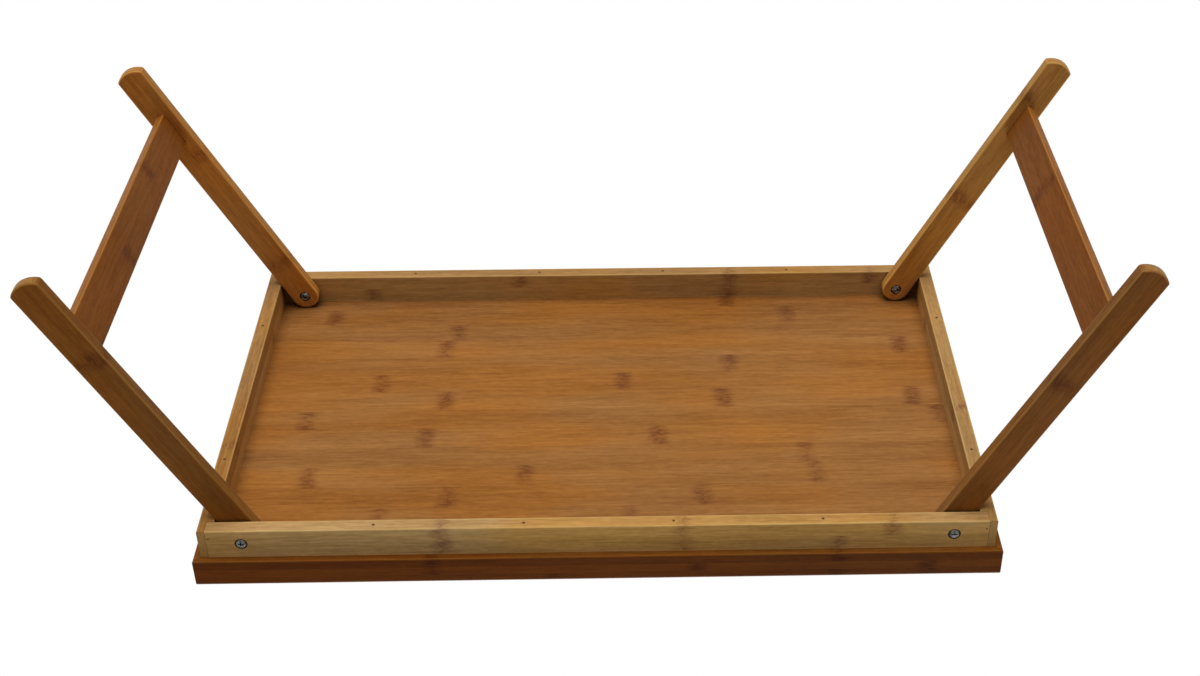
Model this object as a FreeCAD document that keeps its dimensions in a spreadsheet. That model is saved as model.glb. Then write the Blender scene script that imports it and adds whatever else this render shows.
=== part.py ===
"""Folding bamboo bed tray table: a rimmed tray on an apron frame, with two fold-in leg pairs.

The table stands on its feet with both leg pairs open against the short apron rails. The origin lies
on the floor under the middle of the tray, +X runs along the tray, +Y to its back and +Z up. All sizes
are in millimetres. Every board is drawn with its outer face at y = 0 and its inside towards +y, and
every leg with its pivot at the origin and its foot towards -z. Each one is then turned and moved to
its place.
"""
import FreeCAD
import Part
import Sketcher
import math
import os
import re

SIZES = {
    # tray
    "tray_length": 500.0,
    "tray_width": 300.0,
    "rim_height": 19.5,
    "rim_thick": 12.0,
    "rim_round": 2.4,
    "rim_ease": 1.6,
    "panel_thick": 5.0,
    "panel_tuck": 5.0,
    "panel_step": 1.0,
    "panel_play": 0.2,
    # apron frame under the tray
    "ledge": 4.6,
    "apron_height": 20.5,
    "apron_thick": 9.5,
    "apron_lap": 4.7,
    "edge_ease": 0.6,
    # legs
    "pivot_from_rail": 16.7,
    "pivot_drop": 10.0,
    "leg_width": 20.0,
    "leg_thick": 8.0,
    "leg_corner": 205.0,
    "foot_bulge": 4.0,
    "foot_corner": 2.0,
    "leg_ease": 1.5,
    "leg_gap": 1.4,
    "running_gap": 0.1,
    "stop_gap": 0.1,
    # crossbars
    "crossbar_reach": 159.0,
    "crossbar_width": 26.0,
    "crossbar_thick": 7.0,
    "crossbar_crown": 0.4,
    "crossbar_ease": 0.8,
    "dowel_diameter": 3.5,
    "dowel_length": 14.0,
    "dowel_in_leg": 5.0,
    "dowel_spacing": 16.0,
    # pivot bolts, lock nuts and spacing washers
    "bolt_diameter": 3.5,
    "bolt_play": 0.1,
    "bolt_running_play": 0.05,
    "bolt_proud": 0.6,
    "head_diameter": 6.8,
    "head_height": 2.1,
    "head_sink": 1.6,
    "head_room": 0.6,
    "cross_width": 1.0,
    "cross_span": 3.8,
    "cross_depth": 1.2,
    "nut_across": 6.0,
    "nut_height": 2.8,
    "nut_sink": 2.4,
    "nut_room": 0.55,
    "washer_diameter": 10.0,
    # brads
    "brad_diameter": 1.2,
    "brad_bite": 6.0,
    "long_brad_pitch": 92.0,
    "short_brad_pitch": 150.0,
    "corner_brad_inset": 6.5,
    "corner_brad_rise": 6.0,
    "corner_brad_length": 20.0,
}

DERIVED = {
    "rim_foot": "rim_thick - panel_tuck",
    "tongue_thick": "panel_thick - panel_step",
    "panel_length": "tray_length - 2 * rim_foot - 2 * panel_play",
    "panel_width": "tray_width - 2 * rim_foot - 2 * panel_play",
    "field_length": "tray_length - 2 * rim_thick - 2 * panel_play",
    "field_width": "tray_width - 2 * rim_thick - 2 * panel_play",
    "apron_length": "tray_length - 2 * ledge",
    "apron_width": "tray_width - 2 * ledge",
    "long_rail_length": "apron_length - 2 * apron_lap",
    "pivot_x": "apron_length / 2 - apron_thick - pivot_from_rail",
    "leg_middle_y": "apron_width / 2 - apron_thick - leg_gap - leg_thick / 2",
    "foot_radius": "(leg_width^2 / 4 + foot_bulge^2) / (2 * foot_bulge)",
    "foot_centre": "leg_corner + foot_bulge - foot_radius",
    "corner_across": "leg_width / 2 - foot_corner",
    "corner_down": "foot_centre + sqrt((foot_radius - foot_corner)^2 - corner_across^2)",
    "toe_across": "corner_across * foot_radius / (foot_radius - foot_corner)",
    "toe_down": "foot_centre + (corner_down - foot_centre) * foot_radius / (foot_radius - foot_corner)",
    "crown_radius": "(crossbar_width^2 / 4 + crossbar_crown^2) / (2 * crossbar_crown)",
    "crossbar_length": "2 * leg_middle_y - leg_thick",
    "washer_thick": "leg_gap - running_gap",
    "nut_seat": "apron_thick + leg_gap + leg_thick - nut_sink + running_gap",
    "bolt_end": "nut_seat + nut_height + bolt_proud",
    "brad_inset": "ledge + apron_thick / 2",
    "brad_length": "apron_height + panel_thick + brad_bite",
}

BRAD_COUNT_LONG = 4
BRAD_COUNT_SHORT = 2
SAME = 0.01

doc = FreeCAD.newDocument("bed_tray_table")
sheet = doc.addObject("Spreadsheet::Sheet", "Sizes")
nodes = {}


def bound(text):
    """The expression with every size name pointing at its cell."""
    names = set(SIZES) | set(DERIVED)
    return re.sub(r"[a-z_]+", lambda m: "Sizes." + m.group() if m.group() in names else m.group(), text)


def size(text):
    """The present value of an expression in the sheet's sizes."""
    return float(sheet.evalExpression(bound(text)))


def fill_sheet():
    """One row for each driving size, then one for each size that follows from them."""
    rows = [(name, str(value)) for name, value in SIZES.items()]
    rows += [(name, "=" + text) for name, text in DERIVED.items()]
    for row, (name, content) in enumerate(rows, 1):
        sheet.set(f"A{row}", name)
        sheet.set(f"B{row}", content)
        sheet.setAlias(f"B{row}", name)
    doc.recompute()


def splay_angle():
    """The leg's lean in degrees where its outer edge meets the eased lower edge of the short rail."""
    across = size("pivot_from_rail + edge_ease")
    down = size("pivot_drop - edge_ease")
    reach = size("leg_width / 2 + edge_ease + stop_gap")
    return math.degrees(math.atan2(across, down) - math.asin(reach / math.hypot(across, down)))


# ---------------------------------------------------------------- drawing helpers


def new_body(label):
    body = doc.addObject("PartDesign::Body", label)
    body.Label = label
    return body


def origin_plane(body, role):
    return next(plane for plane in body.Origin.OriginFeatures if plane.Role == role)


def new_sketch(body, name, role):
    sketch = body.newObject("Sketcher::SketchObject", body.Name + "_" + name)
    sketch.AttachmentSupport = (origin_plane(body, role), [""])
    sketch.MapMode = "FlatFace"
    return sketch


def hold(sketch, kind, geometry, point, text):
    """Ties one coordinate of a sketch point to an expression."""
    index = sketch.addConstraint(Sketcher.Constraint(kind, -1, 1, geometry, point, size(text)))
    sketch.renameConstraint(index, f"held_{index}")
    sketch.setExpression(f"Constraints.held_{index}", bound(text))


def outline(sketch, corners, arcs=None):
    """Draws a closed outline through corners given anticlockwise.

    arcs maps the number of a side to (axis, x, y): that side bulges outwards about the centre x, y.
    Only the centre's coordinate along that axis is held, because the side's ends fix the other one.
    """
    arcs = arcs or {}
    points = [FreeCAD.Vector(size(x), size(y), 0) for x, y in corners]
    first = sketch.GeometryCount
    for side, start in enumerate(points):
        end = points[(side + 1) % len(points)]
        if side in arcs:
            centre = FreeCAD.Vector(size(arcs[side][1]), size(arcs[side][2]), 0)
            along = end - start
            outwards = FreeCAD.Vector(along.y, -along.x, 0).normalize()
            crest = centre + outwards * (start - centre).Length
            sketch.addGeometry(Part.Arc(start, crest, end))
        else:
            sketch.addGeometry(Part.LineSegment(start, end))
    for side, (x, y) in enumerate(corners):
        last = first + (side - 1) % len(corners)
        sketch.addConstraint(Sketcher.Constraint("Coincident", last, 2, first + side, 1))
        hold(sketch, "DistanceX", first + side, 1, x)
        hold(sketch, "DistanceY", first + side, 1, y)
    for side, (axis, x, y) in arcs.items():
        hold(sketch, "Distance" + axis, first + side, 3, x if axis == "X" else y)


def circles(sketch, centres, diameter):
    for x, y in centres:
        middle = FreeCAD.Vector(size(x), size(y), 0)
        radius = size(diameter) / 2
        ring = sketch.addGeometry(Part.Circle(middle, FreeCAD.Vector(0, 0, 1), radius))
        hold(sketch, "DistanceX", ring, 3, x)
        hold(sketch, "DistanceY", ring, 3, y)
        index = sketch.addConstraint(Sketcher.Constraint("Diameter", ring, radius * 2))
        sketch.renameConstraint(index, f"across_{index}")
        sketch.setExpression(f"Constraints.across_{index}", bound(diameter))


def pad(body, sketch, length, both_ways=False):
    feature = body.newObject("PartDesign::Pad", sketch.Name + "_pad")
    feature.Profile = sketch
    feature.setExpression("Length", bound(length))
    feature.Midplane = both_ways
    sketch.Visibility = False
    doc.recompute()
    return feature


def cut(body, sketch, depth=None, towards_normal=False):
    """Cuts a sketch out of the body, to a depth or right through, and makes sure that it bites."""
    before = body.Shape.Volume
    feature = body.newObject("PartDesign::Pocket", sketch.Name + "_cut")
    feature.Profile = sketch
    feature.Reversed = towards_normal
    if depth is None:
        feature.Type = "ThroughAll"
    else:
        feature.setExpression("Length", bound(depth))
    doc.recompute()
    if not body.Shape.Volume < before:
        raise ValueError(feature.Name + " cuts nothing")
    return feature


def drill(body, name, role, centres, diameter, depth=None, towards_normal=False):
    sketch = new_sketch(body, name, role)
    circles(sketch, centres, diameter)
    return cut(body, sketch, depth, towards_normal)


def ease(body, name, chosen, radius):
    """Rounds the edges that the test picks."""
    tip = body.Tip
    picked = [f"Edge{number}" for number, edge in enumerate(tip.Shape.Edges, 1) if chosen(edge)]
    feature = body.newObject("PartDesign::Fillet", body.Name + "_" + name)
    feature.Base = (tip, picked)
    feature.setExpression("Radius", bound(radius))
    doc.recompute()
    return feature


def runs_along_x_at(y, z):
    """A test for straight edges that run along x at one y and z."""
    def test(edge):
        box = edge.BoundBox
        flat = box.YLength < SAME and box.ZLength < SAME
        return flat and abs(box.YMin - y) < SAME and abs(box.ZMin - z) < SAME
    return test


def any_of(*tests):
    return lambda edge: any(test(edge) for test in tests)


def at(x, y, z, *turns):
    """A placement at a point, after turns given as (axis, degrees), the first one done first."""
    rotation = FreeCAD.Rotation()
    axes = {"y": FreeCAD.Vector(0, 1, 0), "z": FreeCAD.Vector(0, 0, 1)}
    for axis, degrees in turns:
        rotation = FreeCAD.Rotation(axes[axis], degrees) * rotation
    return FreeCAD.Placement(FreeCAD.Vector(x, y, z), rotation)


def keep(label, thing):
    thing.Label = label
    nodes[label] = thing


def group(label, members):
    """Identical loose pieces as one named group of separate solids."""
    together = doc.addObject("Part::Compound", label)
    together.Links = members
    keep(label, together)


def spread(count, pitch):
    """Expressions for a whole number of places an equal pitch apart, centred on zero."""
    last = round(count) - 1
    return [f"{index - last / 2} * {pitch}" for index in range(last + 1)]


# ---------------------------------------------------------------- tray


def rim_board(label, length, brads, brad_pitch):
    """A mitred rim board, rebated underneath for the edge of the panel."""
    body = new_body(label)
    section = new_sketch(body, "section", "YZ_Plane")
    outline(section, [("0", "0"), ("rim_foot", "0"), ("rim_foot", "tongue_thick"),
                      ("rim_thick", "tongue_thick"), ("rim_thick", "rim_height"), ("0", "rim_height")])
    pad(body, section, length, both_ways=True)
    ease(body, "outer_round", runs_along_x_at(0, size("rim_height")), "rim_round")
    ease(body, "inner_round", runs_along_x_at(size("rim_thick"), size("rim_height")), "rim_ease")
    ease(body, "lower_round", runs_along_x_at(0, 0), "edge_ease")
    mitres = new_sketch(body, "mitres", "XY_Plane")
    outline(mitres, [(f"{length} / 2 + 1", "-1"), (f"{length} / 2 + 1", "rim_thick + 1"),
                     (f"{length} / 2 - rim_thick - 1", "rim_thick + 1")])
    outline(mitres, [(f"-{length} / 2 - 1", "-1"), (f"-{length} / 2 + rim_thick + 1", "rim_thick + 1"),
                     (f"-{length} / 2 - 1", "rim_thick + 1")])
    cut(body, mitres, towards_normal=True)
    places = [(x, "brad_inset") for x in spread(brads, brad_pitch)]
    drill(body, "brad_holes", "XY_Plane", places, "brad_diameter", "panel_thick + brad_bite", True)
    return body


def make_rim(tray_z):
    half_length = size("tray_length / 2")
    half_width = size("tray_width / 2")
    long_brads = (BRAD_COUNT_LONG, "long_brad_pitch")
    short_brads = (BRAD_COUNT_SHORT, "short_brad_pitch")
    for label, length, brads, place in (
            ("rim_front", "tray_length", long_brads, at(0, -half_width, tray_z)),
            ("rim_back", "tray_length", long_brads, at(0, half_width, tray_z, ("z", 180))),
            ("rim_left", "tray_width", short_brads, at(-half_length, 0, tray_z, ("z", -90))),
            ("rim_right", "tray_width", short_brads, at(half_length, 0, tray_z, ("z", 90)))):
        board = rim_board(label, length, *brads)
        board.Placement = place
        keep(label, board)


def make_panel(tray_z):
    """The panel: a thin tongue all round for the rim's rebate, and a raised field inside the rim."""
    body = new_body("tray_panel")
    for layer, thickness in (("panel", "tongue_thick"), ("field", "panel_thick")):
        x, y = layer + "_length / 2", layer + "_width / 2"
        plan = new_sketch(body, layer + "_plan", "XY_Plane")
        outline(plan, [("-" + x, "-" + y), (x, "-" + y), (x, y), ("-" + x, y)])
        pad(body, plan, thickness)
    holes = [(x, f"{side}(tray_width / 2 - brad_inset)")
             for side in ("-", "") for x in spread(BRAD_COUNT_LONG, "long_brad_pitch")]
    holes += [(f"{side}(tray_length / 2 - brad_inset)", y)
              for side in ("-", "") for y in spread(BRAD_COUNT_SHORT, "short_brad_pitch")]
    drill(body, "brad_holes", "XY_Plane", holes, "brad_diameter", towards_normal=True)
    body.Placement = at(0, 0, tray_z)
    keep("tray_panel", body)


# ---------------------------------------------------------------- apron frame


def apron_board(label, length, brads, brad_pitch):
    """A plain apron rail with eased lower edges and holes for the brads that hold it to the tray."""
    body = new_body(label)
    section = new_sketch(body, "section", "YZ_Plane")
    outline(section, [("0", "0"), ("apron_thick", "0"),
                      ("apron_thick", "apron_height"), ("0", "apron_height")])
    pad(body, section, length, both_ways=True)
    lower_edges = any_of(runs_along_x_at(0, 0), runs_along_x_at(size("apron_thick"), 0))
    ease(body, "lower_edges", lower_edges, "edge_ease")
    places = [(x, "apron_thick / 2") for x in spread(brads, brad_pitch)]
    drill(body, "brad_holes", "XY_Plane", places, "brad_diameter", towards_normal=True)
    return body


def long_rail(label):
    """A long rail with the two pivot bores, sunk on the outside for the bolt heads."""
    body = apron_board(label, "long_rail_length", BRAD_COUNT_LONG, "long_brad_pitch")
    pivots = [("-pivot_x", "pivot_drop"), ("pivot_x", "pivot_drop")]
    drill(body, "pivot_bores", "XZ_Plane", pivots, "bolt_diameter + 2 * bolt_play")
    drill(body, "head_sinks", "XZ_Plane", pivots, "head_diameter + 2 * head_room", "head_sink")
    corners = [(f"{side}(apron_length / 2 - corner_brad_inset)", "corner_brad_rise") for side in ("-", "")]
    drill(body, "corner_brad_holes", "XZ_Plane", corners, "brad_diameter")
    return body


def short_rail(label):
    """A short rail with a tongue at each end that laps the end of a long rail."""
    body = apron_board(label, "apron_width", BRAD_COUNT_SHORT, "short_brad_pitch")
    laps = new_sketch(body, "laps", "XY_Plane")
    for side, order in (("", 1), ("-", -1)):
        inner = f"{side}(apron_width / 2 - apron_thick)"
        outer = f"{side}(apron_width / 2 + 1)"
        corners = [(inner, "apron_lap"), (outer, "apron_lap"),
                   (outer, "apron_thick + 1"), (inner, "apron_thick + 1")]
        outline(laps, corners[::order])
    cut(body, laps, towards_normal=True)
    shoulder = "apron_width / 2 - apron_thick"
    bite = "corner_brad_length - apron_thick"
    for end, turn in (("low", "-"), ("high", "")):
        hole = new_sketch(body, end + "_brad_hole", "YZ_Plane")
        circles(hole, [("corner_brad_inset", "corner_brad_rise")], "brad_diameter")
        hole.setExpression(".AttachmentOffset.Base.z", bound(f"{turn}({shoulder})"))
        cut(body, hole, bite, towards_normal=(end == "low"))
    return body


def make_apron(apron_z):
    half_length = size("apron_length / 2")
    half_width = size("apron_width / 2")
    for label, maker, place in (
            ("apron_front", long_rail, at(0, -half_width, apron_z)),
            ("apron_back", long_rail, at(0, half_width, apron_z, ("z", 180))),
            ("apron_left", short_rail, at(-half_length, 0, apron_z, ("z", -90))),
            ("apron_right", short_rail, at(half_length, 0, apron_z, ("z", 90)))):
        rail = maker(label)
        rail.Placement = place
        keep(label, rail)


def pin(name, diameter, length, place):
    """A plain round pin along its own z."""
    cylinder = doc.addObject("Part::Cylinder", name)
    cylinder.setExpression("Radius", bound(f"{diameter} / 2"))
    cylinder.setExpression("Height", bound(length))
    cylinder.Placement = place
    return cylinder


def make_brads(apron_z):
    """Brads driven up through the rails and the panel into the rim, and through each corner lap."""
    long_y = size("tray_width / 2 - brad_inset")
    short_x = size("tray_length / 2 - brad_inset")
    places = [(size(x), side * long_y)
              for side in (-1, 1) for x in spread(BRAD_COUNT_LONG, "long_brad_pitch")]
    places += [(side * short_x, size(y))
               for side in (-1, 1) for y in spread(BRAD_COUNT_SHORT, "short_brad_pitch")]
    group("apron_brads", [pin(f"apron_brad_{number}", "brad_diameter", "brad_length", at(x, y, apron_z))
                          for number, (x, y) in enumerate(places)])
    corner_x = size("apron_length / 2 - corner_brad_inset")
    corner_y = size("apron_width / 2")
    corner_z = apron_z + size("corner_brad_rise")
    inwards = FreeCAD.Vector(0, 1, 0)
    members = []
    for number, (x_side, y_side) in enumerate(((-1, -1), (1, -1), (-1, 1), (1, 1))):
        rotation = FreeCAD.Rotation(FreeCAD.Vector(0, 0, 1), inwards * -y_side)
        place = FreeCAD.Placement(FreeCAD.Vector(x_side * corner_x, y_side * corner_y, corner_z), rotation)
        members.append(pin(f"corner_brad_{number}", "brad_diameter", "corner_brad_length", place))
    group("corner_brads", members)


# ---------------------------------------------------------------- legs


def leg(label):
    """A flat leg with a round pivot end and a shallow curved foot, sunk inside for the lock nut."""
    body = new_body(label)
    side_view = new_sketch(body, "side_view", "XZ_Plane")
    outline(side_view,
            [("-leg_width / 2", "0"), ("-leg_width / 2", "-corner_down"), ("-toe_across", "-toe_down"),
             ("toe_across", "-toe_down"), ("leg_width / 2", "-corner_down"), ("leg_width / 2", "0")],
            arcs={1: ("X", "-corner_across", "-corner_down"), 2: ("Y", "0", "-foot_centre"),
                  3: ("X", "corner_across", "-corner_down"), 5: ("Y", "0", "0")})
    pad(body, side_view, "leg_thick", both_ways=True)
    ease(body, "edges", lambda edge: edge.BoundBox.YLength < SAME, "leg_ease")
    drill_leg(body)
    return body


def drill_leg(body):
    """The pivot bore, the nut sink and the dowel holes. The leg's inside faces +y."""
    half = "leg_thick / 2"
    bore = new_sketch(body, "pivot_bore", "XZ_Plane")
    circles(bore, [("0", "0")], "bolt_diameter + 2 * bolt_running_play")
    bore.setExpression(".AttachmentOffset.Base.z", bound(half))
    cut(body, bore)
    sink = new_sketch(body, "nut_sink", "XZ_Plane")
    circles(sink, [("0", "0")], "nut_across * 2 / sqrt(3) + 2 * nut_room")
    sink.setExpression(".AttachmentOffset.Base.z", bound("-(" + half + ")"))
    cut(body, sink, "nut_sink", towards_normal=True)
    holes = new_sketch(body, "dowel_holes", "XZ_Plane")
    circles(holes, [("0", f"-crossbar_reach {side} dowel_spacing / 2") for side in "-+"], "dowel_diameter")
    holes.setExpression(".AttachmentOffset.Base.z", bound("-(" + half + ")"))
    cut(body, holes, "dowel_in_leg", towards_normal=True)


def crossbar(label):
    """A flat slat with slightly crowned faces, dowelled between the insides of two legs."""
    body = new_body(label)
    section = new_sketch(body, "section", "XZ_Plane")
    edge = "(crossbar_thick / 2 - crossbar_crown)"
    half = "crossbar_width / 2"
    centre = "(crossbar_thick / 2 - crown_radius)"
    outline(section,
            [("-" + edge, "-" + half), (edge, "-" + half), (edge, half), ("-" + edge, half)],
            arcs={1: ("X", centre, "0"), 3: ("X", "-" + centre, "0")})
    pad(body, section, "crossbar_length", both_ways=True)
    long_edges = any_of(*[lambda e, x=x, z=z: e.BoundBox.XLength < SAME and e.BoundBox.ZLength < SAME
                          and abs(e.BoundBox.XMin - x) < SAME and abs(e.BoundBox.ZMin - z) < SAME
                          for x in (-size(edge), size(edge)) for z in (-size(half), size(half))])
    ease(body, "long_edges", long_edges, "crossbar_ease")
    for end, turn in (("near", ""), ("far", "-")):
        holes = new_sketch(body, end + "_holes", "XZ_Plane")
        circles(holes, [("0", f"{side}dowel_spacing / 2") for side in ("-", "")], "dowel_diameter")
        holes.setExpression(".AttachmentOffset.Base.z", bound(f"{turn}crossbar_length / 2"))
        cut(body, holes, "dowel_length - dowel_in_leg", towards_normal=(end == "far"))
    return body


def make_leg_pair(hand, side, splay, pivot_z):
    """Both legs of one end, with their crossbar and its dowels. side is -1 on the left, 1 on the right."""
    pivot_x = side * size("pivot_x")
    lean = ("y", -side * splay)
    middle_y = size("leg_middle_y")
    for row, y, turns in (("front", -middle_y, [lean]), ("back", middle_y, [("z", 180), lean])):
        label = f"leg_{hand}_{row}"
        piece = leg(label)
        piece.Placement = at(pivot_x, y, pivot_z, *turns)
        keep(label, piece)
    angle = math.radians(splay)
    outwards = side * math.sin(angle)
    downwards = -math.cos(angle)
    reach = size("crossbar_reach")
    bar = crossbar(f"crossbar_{hand}")
    bar.Placement = at(pivot_x + reach * outwards, 0, pivot_z + reach * downwards, lean)
    keep(f"crossbar_{hand}", bar)
    dowels = []
    start = size("leg_middle_y - leg_thick / 2 + dowel_in_leg")
    for end in (-1, 1):
        for step in (-1, 1):
            along = reach + step * size("dowel_spacing / 2")
            base = FreeCAD.Vector(pivot_x + along * outwards, end * start, pivot_z + along * downwards)
            rotation = FreeCAD.Rotation(FreeCAD.Vector(0, 0, 1), FreeCAD.Vector(0, -end, 0))
            dowels.append(pin(f"dowel_{hand}_{len(dowels)}", "dowel_diameter", "dowel_length",
                              FreeCAD.Placement(base, rotation)))
    group(f"crossbar_dowels_{hand}", dowels)


# ---------------------------------------------------------------- pivots


def pivot_bolt(name):
    """A pan-head bolt along +y whose head sits in the sink of the rail's outer face at y = 0."""
    body = new_body(name)
    half = new_sketch(body, "half", "XY_Plane")
    outline(half,
            [("0", "head_sink - head_height"), ("head_diameter / 2", "head_sink - head_height"),
             ("head_diameter / 2", "head_sink"), ("bolt_diameter / 2", "head_sink"),
             ("bolt_diameter / 2", "bolt_end"), ("0", "bolt_end")])
    turned = body.newObject("PartDesign::Revolution", name + "_turned")
    turned.Profile = half
    turned.ReferenceAxis = (half, ["V_Axis"])
    turned.Angle = 360
    doc.recompute()
    crown = size("head_sink - head_height")
    end = size("bolt_end")
    ease(body, "crown", lambda edge: edge.BoundBox.YLength < SAME and abs(edge.BoundBox.YMin - crown) < SAME,
         "head_height / 2")
    ease(body, "end", lambda edge: edge.BoundBox.YLength < SAME and abs(edge.BoundBox.YMin - end) < SAME,
         "bolt_proud / 2")
    recess = new_sketch(body, "recess", "XZ_Plane")
    arm, wide = "cross_span / 2", "cross_width / 2"
    outline(recess, [("-" + arm, "-" + wide), ("-" + wide, "-" + wide), ("-" + wide, "-" + arm),
                     (wide, "-" + arm), (wide, "-" + wide), (arm, "-" + wide), (arm, wide), (wide, wide),
                     (wide, arm), ("-" + wide, arm), ("-" + wide, wide), ("-" + arm, wide)])
    recess.setExpression(".AttachmentOffset.Base.z", bound("head_height - head_sink"))
    cut(body, recess, "cross_depth")
    return body


def lock_nut(name):
    """A hexagon lock nut along +y, seated at the bottom of the leg's nut sink."""
    body = new_body(name)
    hexagon = new_sketch(body, "hexagon", "XZ_Plane")
    flat = "nut_across / 2"
    point = "nut_across / sqrt(3)"
    outline(hexagon, [("-" + point, "0"), (f"-{point} / 2", "-" + flat), (f"{point} / 2", "-" + flat),
                      (point, "0"), (f"{point} / 2", flat), (f"-{point} / 2", flat)])
    hexagon.setExpression(".AttachmentOffset.Base.z", bound("-nut_seat - nut_height"))
    pad(body, hexagon, "nut_height")
    drill(body, "thread", "XZ_Plane", [("0", "0")], "bolt_diameter")
    return body


def spacing_washer(name):
    """A washer on the rail's inner face that keeps the leg clear of the rail."""
    body = new_body(name)
    disc = new_sketch(body, "disc", "XZ_Plane")
    circles(disc, [("0", "0")], "washer_diameter")
    disc.setExpression(".AttachmentOffset.Base.z", bound("-apron_thick - washer_thick"))
    pad(body, disc, "washer_thick")
    drill(body, "hole", "XZ_Plane", [("0", "0")], "bolt_diameter + 2 * bolt_play")
    return body


def make_pivots(pivot_z):
    rail_y = size("apron_width / 2")
    pivot_x = size("pivot_x")
    places = [at(x, -rail_y, pivot_z) for x in (-pivot_x, pivot_x)]
    places += [at(x, rail_y, pivot_z, ("z", 180)) for x in (-pivot_x, pivot_x)]
    makers = {"pivot_bolts": pivot_bolt, "pivot_nuts": lock_nut, "pivot_washers": spacing_washer}
    for label, maker in makers.items():
        members = []
        for number, place in enumerate(places):
            piece = maker(f"{label}_{number}")
            piece.Placement = place
            members.append(piece)
        group(label, members)


# ---------------------------------------------------------------- the whole table


def check_and_export():
    doc.recompute()
    for thing in doc.Objects:
        bad = {"Invalid", "Error"} & set(thing.State)
        if bad:
            raise ValueError(f"{thing.Name}: {sorted(bad)}")
    os.makedirs("parts", exist_ok=True)
    for label, thing in nodes.items():
        shape = thing.Shape
        if shape.isNull() or not shape.isValid():
            raise ValueError(label + " is not a sound solid")
        shape.exportStep(os.path.join("parts", label + ".step"))
        print(f"{label:24} {len(shape.Solids):2d} solids {shape.Volume:12.1f} mm3")


fill_sheet()
splay = splay_angle()
pivot_z = size("foot_radius") + size("foot_centre") * math.cos(math.radians(splay))
apron_z = pivot_z - size("pivot_drop")
tray_z = apron_z + size("apron_height")
make_rim(tray_z)
make_panel(tray_z)
make_apron(apron_z)
make_brads(apron_z)
make_leg_pair("left", -1, splay, pivot_z)
make_leg_pair("right", 1, splay, pivot_z)
make_pivots(pivot_z)
check_and_export()
print(f"splay {splay:.3f} deg, pivot height {pivot_z:.3f}, tray underside {tray_z:.3f}, "
      f"top {tray_z + size('rim_height'):.3f}, pivot x {size('pivot_x'):.3f}")
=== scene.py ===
"""The looks of the folding bamboo bed tray table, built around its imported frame.

The table stands upright on its feet, and the photograph shows it lying upside down, so the main camera
looks up from under the floor with its own top turned down. The floor shows only from above.
"""
import bpy
import bmesh
import math
from collections import namedtuple
from mathutils import Matrix, Vector


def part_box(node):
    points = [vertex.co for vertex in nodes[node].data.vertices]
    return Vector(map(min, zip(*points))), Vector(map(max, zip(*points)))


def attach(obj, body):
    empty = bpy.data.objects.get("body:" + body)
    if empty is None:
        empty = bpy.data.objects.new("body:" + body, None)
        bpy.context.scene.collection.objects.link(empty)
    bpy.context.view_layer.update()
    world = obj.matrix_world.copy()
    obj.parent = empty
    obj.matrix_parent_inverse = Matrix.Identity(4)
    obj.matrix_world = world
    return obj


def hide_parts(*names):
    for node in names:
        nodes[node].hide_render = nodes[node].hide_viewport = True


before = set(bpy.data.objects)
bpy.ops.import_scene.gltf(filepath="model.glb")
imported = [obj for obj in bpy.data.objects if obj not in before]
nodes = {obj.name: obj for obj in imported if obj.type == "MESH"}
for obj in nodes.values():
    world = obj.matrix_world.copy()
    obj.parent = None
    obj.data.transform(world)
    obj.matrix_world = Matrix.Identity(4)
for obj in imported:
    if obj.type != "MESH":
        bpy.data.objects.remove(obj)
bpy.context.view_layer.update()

MM = 0.001
PIVOT_X = 219.2 * MM
PIVOT_Z = 185.327 * MM
SPLAY = math.radians(28.563)
LEG_REACH = 209 * MM
LEG_WIDTH = 20 * MM
BAR_WIDTH = 26 * MM
BAR_DEPTH = 7 * MM
SPAN = 0.6          # the length over which a strip's knuckles are placed
OUTSIDE = 290       # a knuckle place beyond every board's end, in millimetres


# ---------------------------------------------------------------- shader helpers


def paint(red, green, blue):
    """A colour given in the 0 to 255 of a paint chart, made linear."""
    return tuple(((c / 255 + 0.055) / 1.055) ** 2.4 if c > 10 else c / 255 / 12.92
                 for c in (red, green, blue)) + (1.0,)


def blank_material(name):
    material = bpy.data.materials.new(name)
    material.use_nodes = True
    material.node_tree.nodes.clear()
    return material, material.node_tree


def add(tree, kind, inputs=None, **settings):
    """Adds a shader node. inputs maps a socket's name or number to a value or to another node's output."""
    made = tree.nodes.new("ShaderNode" + kind)
    for key, value in settings.items():
        setattr(made, key, value)
    for key, value in (inputs or {}).items():
        if isinstance(value, bpy.types.NodeSocket):
            tree.links.new(value, made.inputs[key])
        else:
            made.inputs[key].default_value = value
    return made


def calc(tree, operation, *values, clamp=False):
    return add(tree, "Math", dict(enumerate(values)), operation=operation, use_clamp=clamp).outputs[0]


def fade(tree, value, low, high, start=0.0, end=1.0):
    """Goes smoothly from start at low to end at high."""
    inputs = {"Value": value, "From Min": low, "From Max": high, "To Min": start, "To Max": end}
    return add(tree, "MapRange", inputs, interpolation_type="SMOOTHSTEP").outputs[0]


def blend_colours(tree, factor, first, second, kind="MIX"):
    mix = add(tree, "Mix", {0: factor, 6: first, 7: second}, data_type="RGBA", blend_type=kind)
    return mix.outputs[2]


def stretched_noise(tree, place, stretch, detail=2.0, roughness=0.5):
    """Noise whose cells are stretched: stretch gives the cells per metre along, across and through."""
    scaled = add(tree, "VectorMath", {0: place, 1: stretch}, operation="MULTIPLY").outputs[0]
    noise = add(tree, "TexNoise", {"Vector": scaled, "Scale": 1.0, "Detail": detail, "Roughness": roughness})
    return noise.outputs["Fac"]


# ---------------------------------------------------------------- bamboo

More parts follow.
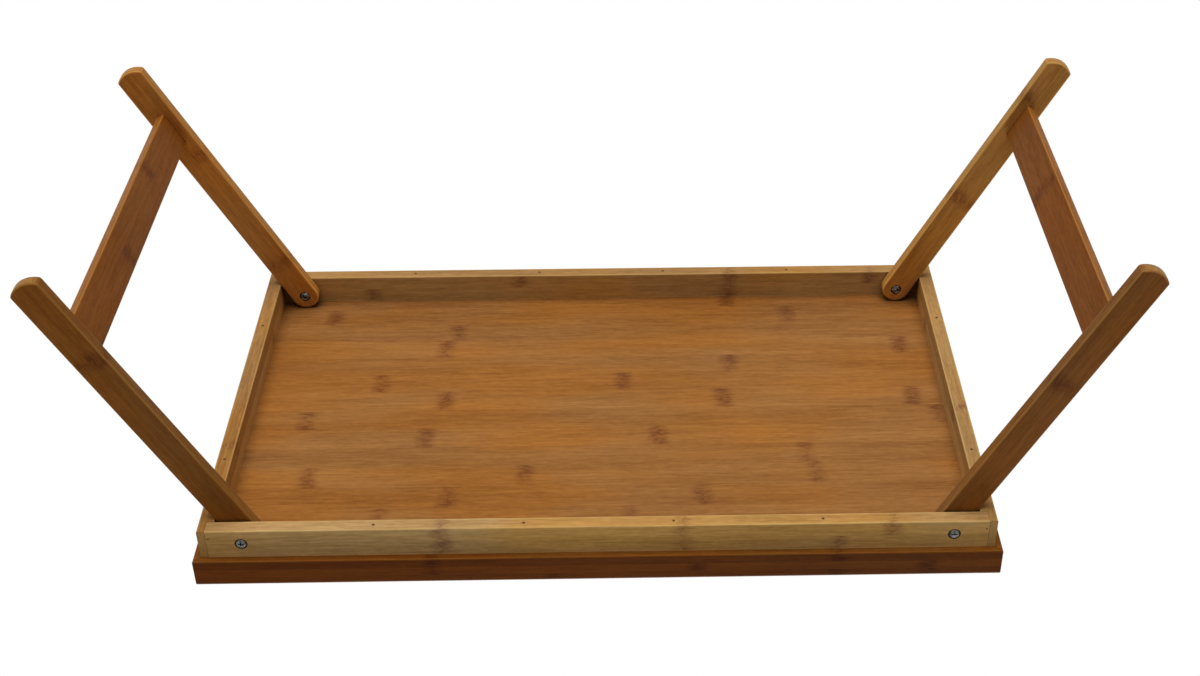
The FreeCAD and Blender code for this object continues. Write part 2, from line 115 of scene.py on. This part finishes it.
# Factors for red, green and blue: how each kind of mark changes the stain or the colour under it.
PALE_FIBRE = (1.30, 1.36, 1.42)
DEEP_FIBRE = (0.70, 0.65, 0.60)
DARK_VESSEL = (0.4, 0.33, 0.3)
# pale rounded edges: partly rubbed lacquer, partly a painted highlight where the edges catch the light
WORN_HIGHLIT_EDGE = (1.9, 2.3, 2.4)
RUST_RING = (0.2, 0.14, 0.1)
JOINT_LINE = (0.25, 0.2, 0.2)
END_POROUS = (0.6, 0.52, 0.45)
WARM_DRIFT = (1.07, 0.95, 0.68, 1.0)
KNUCKLE_TINT = (0.60, 0.50, 0.60, 1.0)
# the next tint lightens the narrow sides of a board as painted light
SIDE_LIGHT_TINT = (2.0, 2.8, 3.6, 1.0)
# the next two give the painted shade in corners: the tint it darkens towards and how far it reaches
CORNER_SHADE_TINT = (0.16, 0.13, 0.11, 1.0)
CORNER_SHADE_REACH = 22 * MM
END_GRAIN = paint(184, 141, 80)

# Where a board lies and how it is worked: its middle, the directions along its grain and across its
# face, its length, width and depth, how strongly its rounded edges are paled (partly rubbed lacquer, partly
# painted highlight), how much its narrow sides are lightened as painted light, how far its ends slope back
# per metre of depth, and the pitch of the brads in its edges. Its third direction points outwards.
Board = namedtuple("Board", "middle along across sizes wear side_lift mitre brad_pitch",
                   defaults=(0.0, 0.0, 0.0))


def flat_board(name, along, across, **worked):
    """A board of the frame whose edges follow the axes."""
    low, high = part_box(name)
    through = Vector(along).cross(Vector(across))
    sizes = [abs((high - low).dot(Vector(axis))) for axis in (along, across, through)]
    return Board((low + high) / 2, along, across, sizes, **worked)


def board_turn(board):
    """The turn that lays the material's x along the board's grain and its y across its face."""
    x, y = Vector(board.along).normalized(), Vector(board.across).normalized()
    return Matrix((x, y, x.cross(y))).transposed().to_euler()


def tinted(colour, red, green, blue):
    return (colour[0] * red, colour[1] * green, colour[2] * blue, 1.0)


def facing(tree, normal, direction):
    """How squarely the surface faces along a direction, either way, from 0 to 1."""
    inputs = {0: normal, 1: tuple(Vector(direction).normalized())}
    dot = add(tree, "VectorMath", inputs, operation="DOT_PRODUCT")
    return calc(tree, "ABSOLUTE", dot.outputs["Value"])


def gap_to_edge(tree, coordinate, size):
    return calc(tree, "SUBTRACT", size / 2, calc(tree, "ABSOLUTE", coordinate))


def strip_ramp(tree, step, strips):
    """Looks up each strip's knuckle places, in its three colours, and its tone, in its alpha."""
    ramp = add(tree, "ValToRGB", {0: step})
    ramp.color_ramp.interpolation = "CONSTANT"
    stops = ramp.color_ramp.elements
    while len(stops) > 1:
        stops.remove(stops[-1])
    for index, (*knuckles, tone) in enumerate(strips):
        stop = stops[0] if index == 0 else stops.new(index / len(strips))
        stop.position = index / len(strips)
        stop.color = [place * MM / SPAN + 0.5 for place in knuckles] + [tone]
    return add(tree, "SeparateColor", {0: ramp.outputs["Color"]}).outputs, ramp.outputs["Alpha"]


def knuckle_patches(tree, place, x, centres):
    """The short purplish patches where the cane had its knuckles."""
    bend = stretched_noise(tree, place, (28, 420, 420), 2.0)
    sway = 10 * MM
    bent_x = calc(tree, "MULTIPLY_ADD", bend, sway, calc(tree, "SUBTRACT", x, sway / 2))
    nearest = None
    for channel in range(3):
        centre = calc(tree, "MULTIPLY_ADD", centres[channel], SPAN, -SPAN / 2)
        away = calc(tree, "ABSOLUTE", calc(tree, "SUBTRACT", bent_x, centre))
        nearest = away if nearest is None else calc(tree, "MINIMUM", nearest, away)
    spots = fade(tree, stretched_noise(tree, place, (240, 560, 560), 3.0, 0.6), 0.30, 0.70)
    strength = fade(tree, stretched_noise(tree, place, (22, 90, 90), 1.0), 0.34, 0.62, 0.55, 1.15)
    patch = calc(tree, "MULTIPLY", fade(tree, nearest, 2.2 * MM, 9.0 * MM, 1.0, 0.0), strength)
    middle = fade(tree, nearest, 0.4 * MM, 3.0 * MM, 0.40, 0.0)
    soft = calc(tree, "MULTIPLY", patch, calc(tree, "MULTIPLY_ADD", spots, 0.55, 0.34))
    return calc(tree, "MULTIPLY_ADD", middle, spots, soft, clamp=True)


def grain(tree, place, tone, stain):
    """Broad bands, streaks, fine fibres, mottling and dark vessels, with a slow drift to a warmer colour."""
    bands = stretched_noise(tree, place, (7, 75, 75), 1.0, 0.5)
    streaks = stretched_noise(tree, place, (24, 400, 400), 2.0, 0.6)
    fibres = stretched_noise(tree, place, (60, 1250, 1250), 2.0, 0.65)
    vessels = stretched_noise(tree, place, (90, 2300, 2300), 1.0, 0.5)
    mottle = stretched_noise(tree, place, (190, 430, 430), 3.0, 0.6)
    drift = stretched_noise(tree, place, (8, 26, 26), 1.0)
    depth = calc(tree, "MULTIPLY_ADD", tone, 0.70, fade(tree, bands, 0.30, 0.70, -0.15, 0.10))
    depth = calc(tree, "ADD", depth, fade(tree, streaks, 0.30, 0.70, 0.04, 0.32))
    depth = calc(tree, "ADD", depth, fade(tree, fibres, 0.30, 0.70, -0.16, 0.16))
    depth = calc(tree, "ADD", depth, fade(tree, mottle, 0.32, 0.68, -0.09, 0.09), clamp=True)
    colour = blend_colours(tree, depth, tinted(stain, *PALE_FIBRE), tinted(stain, *DEEP_FIBRE))
    colour = blend_colours(tree, fade(tree, drift, 0.36, 0.66), colour, WARM_DRIFT, "MULTIPLY")
    dark = fade(tree, vessels, 0.58, 0.74, 0.0, 0.24)
    colour = blend_colours(tree, dark, colour, tinted(stain, *DARK_VESSEL))
    return colour, bands, fibres


def end_grain(tree, place, stain):
    """The cut end of a board: pale, with small dark vessel dots."""
    spread = add(tree, "VectorMath", {0: place, 1: (100, 1100, 1100)}, operation="MULTIPLY").outputs[0]
    dots = add(tree, "TexVoronoi", {"Vector": spread, "Scale": 1.0}).outputs["Distance"]
    pale = [(end + face) / 2 for end, face in zip(END_GRAIN, stain)]
    return blend_colours(tree, fade(tree, dots, 0.12, 0.45), tinted(stain, *END_POROUS), pale)


def worn_and_highlit_edges(tree, board, normal, y, z, bands):
    """Strength of the paler rounded edges and the strip just beside them: partly rubbed lacquer, partly
    painted highlight.
    """
    squarely = facing(tree, normal, Vector(board.along).cross(Vector(board.across)))
    square = calc(tree, "MULTIPLY", squarely, squarely)
    slanting = calc(tree, "MULTIPLY", square, calc(tree, "SUBTRACT", 1.0, square))
    rounded = calc(tree, "MULTIPLY", slanting, 4.0)
    gap = calc(tree, "ADD", gap_to_edge(tree, y, board.sizes[1]), gap_to_edge(tree, z, board.sizes[2]))
    beside = fade(tree, gap, 0.3 * MM, 1.5 * MM, 0.8, 0.0)
    patchy = fade(tree, bands, 0.28, 0.62, board.wear / 2, board.wear)
    return calc(tree, "MULTIPLY", calc(tree, "MAXIMUM", rounded, beside), patchy)


def brad_marks(tree, board, normal, x, z):
    """Dark rings of rust and filler in the edge round each brad."""
    turns = calc(tree, "FRACT", calc(tree, "MULTIPLY", x, 1 / board.brad_pitch))
    along = calc(tree, "MULTIPLY", calc(tree, "SUBTRACT", turns, 0.5), board.brad_pitch)
    squares = calc(tree, "ADD", calc(tree, "MULTIPLY", along, along), calc(tree, "MULTIPLY", z, z))
    away = calc(tree, "SQRT", squares)
    on_edge = fade(tree, facing(tree, normal, board.across), 0.8, 0.95)
    inside = fade(tree, gap_to_edge(tree, x, board.sizes[0]), board.brad_pitch / 4, board.brad_pitch / 3)
    shown = calc(tree, "MULTIPLY", on_edge, inside)
    return calc(tree, "MULTIPLY", fade(tree, away, 0.6 * MM, 1.5 * MM, 0.75, 0.0), shown)


def bamboo(name, board, strips, stain, seed):
    """Lacquered bamboo made of strips glued side by side, in one stain.

    strips holds one row per strip: the places of up to three knuckles along it, in millimetres from the
    middle, and the strip's tone from 0 for pale to 1 for deep.
    """
    length, width, depth = board.sizes
    material, tree = blank_material(name)
    coordinates = add(tree, "TexCoord").outputs
    normal = coordinates["Normal"]
    place = add(tree, "Mapping", {"Vector": coordinates["Object"], "Location": board.middle,
                                  "Rotation": board_turn(board)}, vector_type="TEXTURE").outputs[0]
    x, y, z = add(tree, "SeparateXYZ", {0: place}).outputs
    shifted = add(tree, "VectorMath", {0: place, 1: (seed * 0.37, seed * 0.11, seed * 0.053)},
                  operation="ADD").outputs[0]

    step = calc(tree, "MULTIPLY_ADD", y, 1 / width, 0.5, clamp=True)
    centres, tone = strip_ramp(tree, step, strips)
    colour, bands, fibres = grain(tree, shifted, tone, stain)

    within = calc(tree, "FRACT", calc(tree, "MULTIPLY", step, float(len(strips))))
    to_line = calc(tree, "SUBTRACT", 0.5, calc(tree, "ABSOLUTE", calc(tree, "SUBTRACT", within, 0.5)))
    glue = fade(tree, to_line, 0.0, 0.35 * MM / width * len(strips), 0.3, 0.0)
    knuckle = knuckle_patches(tree, shifted, x, centres)
    colour = blend_colours(tree, calc(tree, "MAXIMUM", glue, knuckle), colour, KNUCKLE_TINT, "MULTIPLY")

    # painted light: the narrow sides are lightened, as if more light fell on them
    side = fade(tree, facing(tree, normal, board.across), 0.7, 0.95, 0.0, board.side_lift)
    colour = blend_colours(tree, side, colour, SIDE_LIGHT_TINT, "MULTIPLY")
    edge_wear_and_highlight = worn_and_highlit_edges(tree, board, normal, y, z, bands)
    # the rounded edges are paled: partly rubbed lacquer, partly painted highlight
    colour = blend_colours(tree, edge_wear_and_highlight, colour, tinted(stain, *WORN_HIGHLIT_EDGE))
    cut = fade(tree, facing(tree, normal, board.along), 0.72, 0.92)
    colour = blend_colours(tree, cut, colour, end_grain(tree, shifted, stain))

    if board.brad_pitch:
        marks = brad_marks(tree, board, normal, x, z)
        colour = blend_colours(tree, marks, colour, tinted(stain, *RUST_RING))

    # the joint shows as a dark line at each end of the board
    end = calc(tree, "MULTIPLY_ADD", z, board.mitre, length / 2 - board.mitre * depth / 2)
    to_end = calc(tree, "ABSOLUTE", calc(tree, "SUBTRACT", end, calc(tree, "ABSOLUTE", x)))
    line = fade(tree, to_end, 0.15 * MM, 0.55 * MM, 0.7, 0.0)
    joint = calc(tree, "MULTIPLY", line, calc(tree, "SUBTRACT", 1.0, cut))
    colour = blend_colours(tree, joint, colour, tinted(stain, *JOINT_LINE))

    # painted shade: the colour is darkened in the corners, where shade falls, but not where a foot meets the
    # floor
    shelter = add(tree, "AmbientOcclusion", {"Distance": CORNER_SHADE_REACH}, samples=6).outputs["AO"]
    height = add(tree, "SeparateXYZ", {0: coordinates["Object"]}).outputs[2]
    above_floor = fade(tree, height, 30 * MM, 60 * MM)
    corner_shade = calc(tree, "MULTIPLY", fade(tree, shelter, 0.05, 0.52, 0.84, 0.0), above_floor)
    colour = blend_colours(tree, corner_shade, colour, CORNER_SHADE_TINT, "MULTIPLY")

    grit = calc(tree, "MULTIPLY_ADD", fibres, 0.6, calc(tree, "MULTIPLY", knuckle, 0.5))
    bump = add(tree, "Bump", {"Strength": 0.35, "Distance": 0.12 * MM, "Height": grit})
    roughness = fade(tree, fibres, 0.3, 0.7, 0.32, 0.48)
    shader = add(tree, "BsdfPrincipled", {"Base Color": colour, "Roughness": roughness,
                                          "Normal": bump.outputs[0], "Specular IOR Level": 0.025})
    tree.links.new(shader.outputs[0], add(tree, "OutputMaterial").inputs[0])
    return material


def dress(name, material):
    """Gives a node of the frame its finish."""
    slots = nodes[name].data.materials
    slots.clear()
    slots.append(material)


# ---------------------------------------------------------------- camera, lights and floor

LAMP_STRENGTH = 2.4
LAMP_SPREAD = 50    # degrees
AMBIENT = 0.28      # how much of the white surroundings lights the table


def set_camera():
    """The photograph's view, 950 mm in front of the table's middle and 534 mm under its feet.

    The lens is slightly wider than the photograph's, so that no foot is cut off at the picture's edge.
    """
    data = bpy.data.cameras.new("camera")
    data.sensor_width = 36
    data.lens = 52.3
    data.shift_x = -0.047
    data.shift_y = 0.0013
    data.clip_start = 0.01
    camera = bpy.data.objects.new("camera", data)
    camera.location = (-0.01939, -0.94994, -0.53388)
    camera.rotation_euler = [math.radians(a) for a in (-125.2878, -0.0313, -178.8356)]
    bpy.context.scene.collection.objects.link(camera)
    bpy.context.scene.camera = camera


def soft_sun(name, direction):
    data = bpy.data.lights.new(name, "SUN")
    data.energy = LAMP_STRENGTH
    data.angle = math.radians(LAMP_SPREAD)
    lamp = bpy.data.objects.new(name, data)
    lamp.rotation_euler = Vector(direction).to_track_quat("-Z", "Y").to_euler()
    bpy.context.scene.collection.objects.link(lamp)


def light_the_studio():
    soft_sun("light_from_below", (-0.06, 0.02, 1.0))
    soft_sun("light_from_above", (0.14, 0.12, -1.0))
    world = bpy.data.worlds.new("studio")
    bpy.context.scene.world = world
    world.use_nodes = True
    tree = world.node_tree
    tree.nodes.clear()
    path = add(tree, "LightPath").outputs
    seen = calc(tree, "ADD", path["Is Camera Ray"], path["Is Glossy Ray"])
    seen = calc(tree, "ADD", seen, path["Is Transmission Ray"], clamp=True)
    strength = calc(tree, "MULTIPLY_ADD", seen, 1.0 - AMBIENT, AMBIENT)
    background = add(tree, "Background", {"Color": (1, 1, 1, 1), "Strength": strength})
    tree.links.new(background.outputs[0], add(tree, "OutputWorld").inputs[0])


def lay_floor():
    """A pale floor at the feet. It shows and takes shadows from above, and is clear from below."""
    mesh = bpy.data.meshes.new("floor")
    shape = bmesh.new()
    bmesh.ops.create_grid(shape, x_segments=1, y_segments=1, size=6.0)
    shape.to_mesh(mesh)
    shape.free()
    floor = bpy.data.objects.new("floor", mesh)
    bpy.context.scene.collection.objects.link(floor)
    material, tree = blank_material("floor_pale")
    path = add(tree, "LightPath").outputs
    back = add(tree, "NewGeometry").outputs["Backfacing"]
    looked_at = calc(tree, "MULTIPLY", path["Is Camera Ray"], calc(tree, "SUBTRACT", 1.0, back))
    place = add(tree, "TexCoord").outputs["Object"]
    cloud = stretched_noise(tree, place, (1.5, 1.5, 1.5), 3.0)
    colour = blend_colours(tree, cloud, paint(236, 236, 234), paint(242, 242, 241))
    pale = add(tree, "BsdfPrincipled", {"Base Color": colour, "Roughness": 0.9, "Specular IOR Level": 0.1})
    clear = add(tree, "BsdfTransparent")
    mixed = add(tree, "MixShader", {0: looked_at, 1: clear.outputs[0], 2: pale.outputs[0]})
    tree.links.new(mixed.outputs[0], add(tree, "OutputMaterial").inputs[0])
    mesh.materials.append(material)


# ---------------------------------------------------------------- finishes of the boards

# each row: three knuckle places along the strip, then the strip's tone
PANEL_STRIPS = [
    (-170, 60, OUTSIDE, 0.55), (-20, 140, OUTSIDE, 0.45), (-66, 98, OUTSIDE, 0.60),
    (49, 191, -142, 0.40), (-136, OUTSIDE, OUTSIDE, 0.55), (-39, 117, OUTSIDE, 0.35),
    (200, -230, OUTSIDE, 0.50), (-85, -216, 107, 0.30), (-15, 153, OUTSIDE, 0.45),
    (-91, OUTSIDE, OUTSIDE, 0.55), (-215, 111, OUTSIDE, 0.35), (104, OUTSIDE, OUTSIDE, 0.60),
    (196, -137, OUTSIDE, 0.70), (-93, OUTSIDE, OUTSIDE, 0.80)]
RIM_STRIPS = {
    "front": [(104, -148, OUTSIDE, 0.95), (104, -204, -60, 0.3), (30, -204, -148, 0.65)],
    "back": [(90, -150, OUTSIDE, 0.7), (40, 190, OUTSIDE, 0.3), (90, 190, OUTSIDE, 0.5)],
    "left": [(70, OUTSIDE, OUTSIDE, 0.6)],
    "right": [(-50, OUTSIDE, OUTSIDE, 0.5)]}
APRON_STRIPS = {
    "front": [(97, -52, -181, 0.45), (97, -52, -148, 0.55)],
    "back": [(95, -60, 200, 0.5), (95, -170, 230, 0.6)],
    "left": [(30, OUTSIDE, OUTSIDE, 0.65), (-90, OUTSIDE, OUTSIDE, 0.1)],
    "right": [(-60, OUTSIDE, OUTSIDE, 0.7), (80, OUTSIDE, OUTSIDE, 0.05)]}
LEG_STRIPS = {
    "leg_left_front": [(20, OUTSIDE, OUTSIDE, 0.4), (20, OUTSIDE, OUTSIDE, 0.6)],
    "leg_left_back": [(-12, OUTSIDE, OUTSIDE, 0.5), (-12, 78, OUTSIDE, 0.4)],
    "leg_right_front": [(48, OUTSIDE, OUTSIDE, 0.6), (48, OUTSIDE, OUTSIDE, 0.4)],
    "leg_right_back": [(-66, 34, OUTSIDE, 0.5), (-66, OUTSIDE, OUTSIDE, 0.6)]}
BAR_STRIPS = {"left": [(32, OUTSIDE, OUTSIDE, 0.45), (32, OUTSIDE, OUTSIDE, 0.55)],
              "right": [(-30, OUTSIDE, OUTSIDE, 0.5), (58, OUTSIDE, OUTSIDE, 0.4)]}
STAINS = {
    "tray_panel": paint(149, 101, 54),
    "rim": paint(104, 56, 16),
    "apron_front": paint(188, 150, 95), "apron_back": paint(176, 136, 82),
    "apron_left": paint(184, 146, 92), "apron_right": paint(176, 134, 82),
    # the back legs' stains are paler than the front legs' partly as painted light, for the brighter light on
    # their inner faces
    "leg_left_front": paint(131, 84, 42), "leg_left_back": paint(170, 118, 58),
    "leg_right_front": paint(128, 81, 36), "leg_right_back": paint(172, 111, 50),
    "crossbar": paint(131, 78, 30),
}
GRAIN_OF_SIDE = {"front": (1, 0, 0), "back": (-1, 0, 0), "left": (0, -1, 0), "right": (0, 1, 0)}
BRAD_PITCHES = {"front": 92 * MM, "back": 92 * MM, "left": 150 * MM, "right": 150 * MM}
UP = (0, 0, 1)


def finish_tray():
    panel = flat_board("tray_panel", (1, 0, 0), (0, 1, 0), wear=0.3)
    dress("tray_panel", bamboo("bamboo_tray_panel", panel, PANEL_STRIPS, STAINS["tray_panel"], 1))
    for seed, (side, along) in enumerate(GRAIN_OF_SIDE.items(), 2):
        rim, apron = "rim_" + side, "apron_" + side
        board = flat_board(rim, along, UP, wear=0.6, side_lift=0.8, mitre=1.0)
        dress(rim, bamboo("bamboo_" + rim, board, RIM_STRIPS[side], STAINS["rim"], seed))
        board = flat_board(apron, along, UP, wear=0.3, brad_pitch=BRAD_PITCHES[side])
        dress(apron, bamboo("bamboo_" + apron, board, APRON_STRIPS[side], STAINS[apron], seed + 4))


def finish_legs(hand, side):
    """The two legs and the crossbar of one end. side is -1 on the left, 1 on the right."""
    pivot = Vector((side * PIVOT_X, 0, PIVOT_Z))
    down = Vector((side * math.sin(SPLAY), 0, -math.cos(SPLAY)))
    across = Vector((math.cos(SPLAY), 0, side * math.sin(SPLAY)))
    for seed, row in enumerate(("front", "back"), 11 + side):
        leg = f"leg_{hand}_{row}"
        low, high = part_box(leg)
        middle = pivot + down * (LEG_REACH / 2 - LEG_WIDTH / 4)
        middle.y = (low.y + high.y) / 2
        sizes = (LEG_REACH + LEG_WIDTH / 2, LEG_WIDTH, high.y - low.y)
        board = Board(middle, down, across, sizes, wear=0.8, side_lift=0.3)
        dress(leg, bamboo("bamboo_" + leg, board, LEG_STRIPS[leg], STAINS[leg], seed))
    bar = "crossbar_" + hand
    low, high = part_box(bar)
    sizes = (high.y - low.y, BAR_WIDTH, BAR_DEPTH)
    board = Board((low + high) / 2, (0, 1, 0), down, sizes, wear=1.0, side_lift=0.35)
    dress(bar, bamboo("bamboo_" + bar, board, BAR_STRIPS[hand], STAINS["crossbar"], 15 + side))


# ---------------------------------------------------------------- bolts, nuts, brads and dowels

RAIL_THICK = 9.5 * MM
HEAD_RADIUS = 3.4 * MM
HEAD_HEIGHT = 2.1 * MM
HEAD_SINK = 1.6 * MM
HEAD_FLAT = 0.66            # the flat top's share of the head's radius
CROSS_SPAN = 3.8 * MM
CROSS_WIDTH = 1.0 * MM
CROSS_DEPTH = 1.2 * MM
CROSS_TAPER = 0.62          # the size of the recess's floor against its mouth
SHANK_RADIUS = 1.75 * MM
BOLT_LENGTH = 20.5 * MM
THREAD_PITCH = 0.6 * MM
THREAD_DEPTH = 0.3 * MM
THREAD_RIDGES = 9
THREAD_END = 0.2 * MM
NUT_SEAT = 16.6 * MM
NUT_HEIGHT = 2.8 * MM
NUT_ACROSS = 6.0 * MM
NUT_BEVEL = 0.45 * MM
NUT_EASE = 0.12 * MM
COLLAR_HEIGHT = 0.8 * MM
WASHER_RADIUS = 5.0 * MM
WASHER_HOLE = 1.85 * MM
WASHER_THICK = 1.3 * MM
WASHER_EASE = 0.2 * MM
SPIN_STEPS = 48
SHARP_FROM = 35             # degrees between faces that meet in a sharp edge


def steel(name, deep, pale, gloss):
    """Steel with fine turning marks, and paler patches that are partly stain and partly painted glints."""
    material, tree = blank_material(name)
    place = add(tree, "TexCoord").outputs["Object"]
    marks = stretched_noise(tree, place, (2500, 400, 2500), 2.0)
    # the paler patches are partly stain, partly painted glints
    patches = fade(tree, stretched_noise(tree, place, (380, 380, 380), 2.0, 0.5), 0.32, 0.72)
    colour = blend_colours(tree, patches, deep, pale)
    roughness = fade(tree, marks, 0.3, 0.7, gloss, gloss + 0.2)
    bump = add(tree, "Bump", {"Strength": 0.25, "Distance": 0.03 * MM, "Height": marks})
    shader = add(tree, "BsdfPrincipled", {"Base Color": colour, "Metallic": 1.0, "Roughness": roughness,
                                          "Normal": bump.outputs[0]})
    tree.links.new(shader.outputs[0], add(tree, "OutputMaterial").inputs[0])
    return material


def dowel_wood():
    """Pale turned wood with its grain along the dowel."""
    material, tree = blank_material("dowel_wood")
    place = add(tree, "TexCoord").outputs["Object"]
    fibres = stretched_noise(tree, place, (900, 60, 900), 2.0, 0.6)
    colour = blend_colours(tree, fade(tree, fibres, 0.3, 0.7), paint(206, 176, 132), paint(168, 132, 90))
    bump = add(tree, "Bump", {"Strength": 0.3, "Distance": 0.1 * MM, "Height": fibres})
    shader = add(tree, "BsdfPrincipled", {"Base Color": colour, "Roughness": 0.7, "Normal": bump.outputs[0]})
    tree.links.new(shader.outputs[0], add(tree, "OutputMaterial").inputs[0])
    return material


def turned(shape, profile):
    """Spins a profile of (radius, height) points round the z axis."""
    corners = [shape.verts.new((radius, 0, height)) for radius, height in profile]
    edges = [shape.edges.new(pair) for pair in zip(corners, corners[1:])]
    bmesh.ops.spin(shape, geom=corners + edges, cent=(0, 0, 0), axis=(0, 0, 1), steps=SPIN_STEPS,
                   angle=math.tau, use_merge=True)


def hexagon_nut(shape):
    """A chamfered hexagon body with a rolled locking collar, standing on z = 0 round the z axis."""
    body = NUT_HEIGHT - COLLAR_HEIGHT
    corner = NUT_ACROSS / math.sqrt(3)
    turn = Matrix.Translation((0, 0, body / 2)) @ Matrix.Rotation(math.radians(30), 4, "Z")
    bmesh.ops.create_cone(shape, cap_ends=True, segments=6, radius1=corner, radius2=corner, depth=body,
                          matrix=turn)
    rim = [edge for edge in shape.edges if all(vert.co.z > body / 2 for vert in edge.verts)]
    upright = [edge for edge in shape.edges if len({round(vert.co.z, 6) for vert in edge.verts}) == 2]
    bmesh.ops.bevel(shape, geom=rim, offset=NUT_BEVEL, offset_type="OFFSET", segments=3, profile=0.5,
                    affect="EDGES", material=-1)
    bmesh.ops.bevel(shape, geom=[edge for edge in upright if edge.is_valid], offset=NUT_EASE,
                    offset_type="OFFSET", segments=2, profile=0.5, affect="EDGES", material=-1)
    inner, outer, top = SHANK_RADIUS, NUT_ACROSS / 2 - NUT_BEVEL, NUT_HEIGHT
    turned(shape, [(outer, body - 0.1 * MM), (outer, top - 0.4 * MM), (outer - 0.12 * MM, top - 0.14 * MM),
                   (outer - 0.4 * MM, top), (inner + 0.5 * MM, top), (inner + 0.2 * MM, top - 0.12 * MM),
                   (inner, top - 0.35 * MM), (inner, body - 0.1 * MM)])


def pan_bolt(shape):
    """A pan head with a domed top and a cross recess, on a shank with a rolled thread at its end."""
    arm, wide, deep = CROSS_SPAN / 2, CROSS_WIDTH / 2, CROSS_DEPTH
    flat = HEAD_RADIUS * HEAD_FLAT
    cross = [(-arm, -wide), (-wide, -wide), (-wide, -arm), (wide, -arm), (wide, -wide), (arm, -wide),
             (arm, wide), (wide, wide), (wide, arm), (-wide, arm), (-wide, wide), (-arm, wide)]
    mouth = [shape.verts.new((x, y, 0)) for x, y in cross]
    lip = [shape.edges.new((mouth[i - 1], mouth[i])) for i in range(len(mouth))]
    ring = bmesh.ops.create_circle(shape, segments=SPIN_STEPS, radius=flat, cap_ends=False)["verts"]
    circle = list({edge for vert in ring for edge in vert.link_edges})
    bmesh.ops.bridge_loops(shape, edges=lip + circle)
    walls = bmesh.ops.extrude_edge_only(shape, edges=lip)["geom"]
    floor = [item for item in walls if isinstance(item, bmesh.types.BMVert)]
    for vert in floor:
        vert.co = (vert.co.x * CROSS_TAPER, vert.co.y * CROSS_TAPER, deep)
    floor_edges = [item for item in walls if isinstance(item, bmesh.types.BMEdge)
                   and all(vert in floor for vert in item.verts)]
    bmesh.ops.contextual_create(shape, geom=floor_edges)
    under, shank, end = HEAD_HEIGHT, SHANK_RADIUS, BOLT_LENGTH
    dome = [(flat + (HEAD_RADIUS - flat) * math.sin(turn), HEAD_HEIGHT * 0.5 * (1 - math.cos(turn)))
            for turn in (math.radians(18 * step) for step in range(6))]
    rim = [(HEAD_RADIUS, under - 0.1 * MM), (HEAD_RADIUS - 0.1 * MM, under), (shank, under)]
    root = shank - THREAD_DEPTH
    thread = []
    for ridge in range(THREAD_RIDGES):
        start = end - THREAD_END - (THREAD_RIDGES - ridge) * THREAD_PITCH
        thread += [(root, start), (shank, start + THREAD_PITCH * 0.45), (shank, start + THREAD_PITCH * 0.55)]
    tip = [(root, end - THREAD_END), (root - THREAD_DEPTH, end), (0, end)]
    turned(shape, dome + rim + thread + tip)
    bmesh.ops.remove_doubles(shape, verts=shape.verts, dist=0.002 * MM)


def spacing_washer(shape):
    """A flat washer with rounded rims."""
    hole, outer, thick, ease = WASHER_HOLE, WASHER_RADIUS, WASHER_THICK, WASHER_EASE
    turned(shape, [(hole, ease), (hole + ease, 0), (outer - ease, 0), (outer, ease),
                   (outer, thick - ease), (outer - ease, thick), (hole + ease, thick),
                   (hole, thick - ease), (hole, ease)])


def fit_pivot(label, maker, depth, material, replaced):
    """One piece of hardware at each of the four pivots, starting depth behind the rail's outer face."""
    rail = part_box("apron_back")[1].y
    for hand, side in (("left", -1), ("right", 1)):
        for row, front in (("front", -1), ("back", 1)):
            shape = bmesh.new()
            maker(shape)
            place = Matrix.Translation((side * PIVOT_X, front * (rail - depth), PIVOT_Z))
            inwards = Matrix.Rotation(front * math.pi / 2, 4, "X")
            bmesh.ops.transform(shape, matrix=place @ inwards, verts=shape.verts)
            bmesh.ops.recalc_face_normals(shape, faces=shape.faces)
            mesh = bpy.data.meshes.new(f"{label}_{hand}_{row}")
            shape.to_mesh(mesh)
            shape.free()
            mesh.materials.append(material)
            mesh.shade_smooth()
            mesh.set_sharp_from_angle(angle=math.radians(SHARP_FROM))
            piece = bpy.data.objects.new(mesh.name, mesh)
            bpy.context.scene.collection.objects.link(piece)
            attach(piece, "tray")
            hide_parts(replaced)


def fit_hardware():
    # painted light: the bolt heads get a darker copy of the zinc as painted shade, the nuts and washers a
    # paler copy as a painted glint
    shaded_zinc = steel("shaded_zinc", paint(54, 55, 53), paint(116, 116, 112), 0.3)
    lit_zinc = steel("lit_zinc", paint(104, 104, 100), paint(176, 175, 170), 0.26)
    fit_pivot("pan_bolt", pan_bolt, HEAD_SINK - HEAD_HEIGHT, shaded_zinc, "pivot_bolts")
    fit_pivot("lock_nut", hexagon_nut, NUT_SEAT, lit_zinc, "pivot_nuts")
    fit_pivot("spacing_washer", spacing_washer, RAIL_THICK, lit_zinc, "pivot_washers")
    dull = steel("brad_steel", paint(44, 32, 24), paint(84, 66, 50), 0.5)
    for name in ("apron_brads", "corner_brads"):
        dress(name, dull)
    dowel = dowel_wood()
    for name in ("crossbar_dowels_left", "crossbar_dowels_right"):
        dress(name, dowel)


bpy.context.scene.view_settings.view_transform = "Standard"
set_camera()
light_the_studio()
lay_floor()
finish_tray()
finish_legs("left", -1)
finish_legs("right", 1)
fit_hardware()
